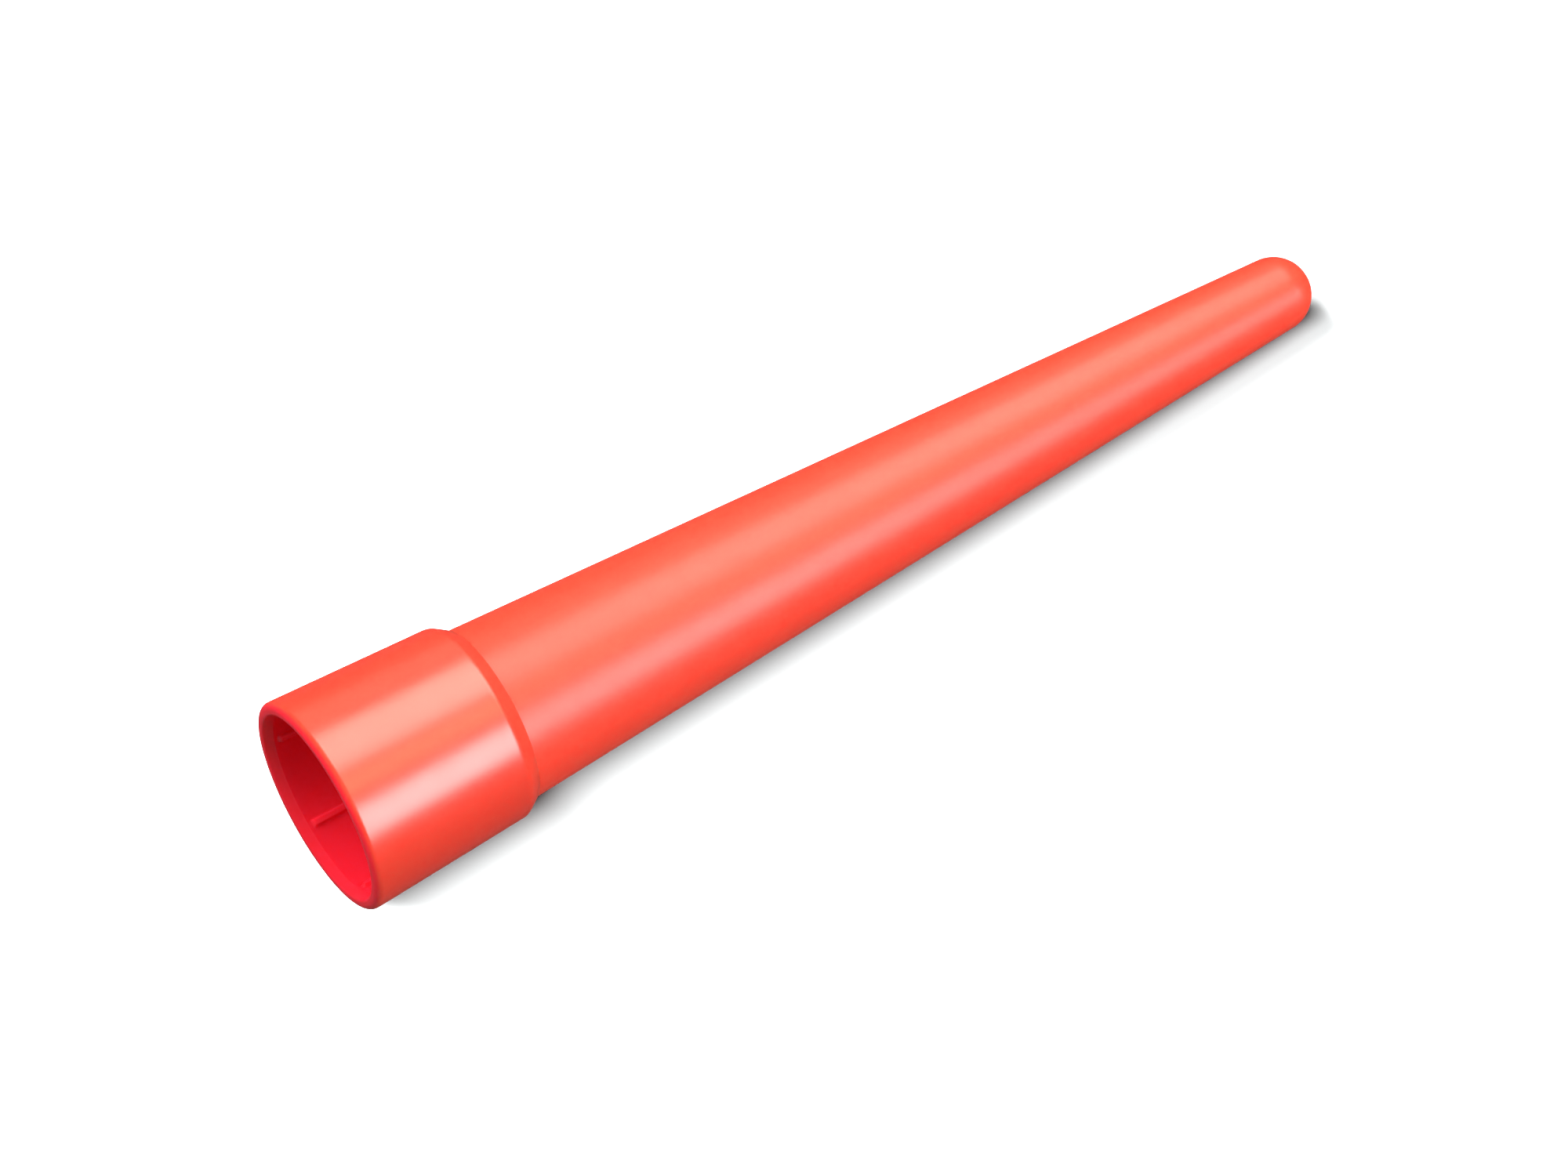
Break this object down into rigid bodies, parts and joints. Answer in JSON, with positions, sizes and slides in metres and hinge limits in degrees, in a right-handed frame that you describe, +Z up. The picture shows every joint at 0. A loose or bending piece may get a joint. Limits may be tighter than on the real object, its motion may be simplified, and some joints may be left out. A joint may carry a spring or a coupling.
{
  "type": "traffic wand for a hand torch",
  "caption": "Slip-on traffic wand: a hollow translucent red cone with a closed round tip, held in a wider ribbed collar that pushes onto the head of a hand torch.",
  "frame": {"origin": "on the floor under the middle of the wand as it lies at rest on the collar's shoulder and the tip", "axes": "+X from the collar's mouth towards the tip, +Z up; the wand's own axis dips 3.67 degrees from +X because the tip is thinner than the collar"},
  "size_m": [0.2328, 0.043, 0.0435],
  "materials": {
    "diffuser_cone": "satin moulded translucent polyethylene",
    "socket_collar": "polished moulded translucent polypropylene"
  },
  "bodies": {
    "root": {"diffuser_cone": "diffuser_cone", "socket_collar": "socket_collar"}
  },
  "joints": []
}
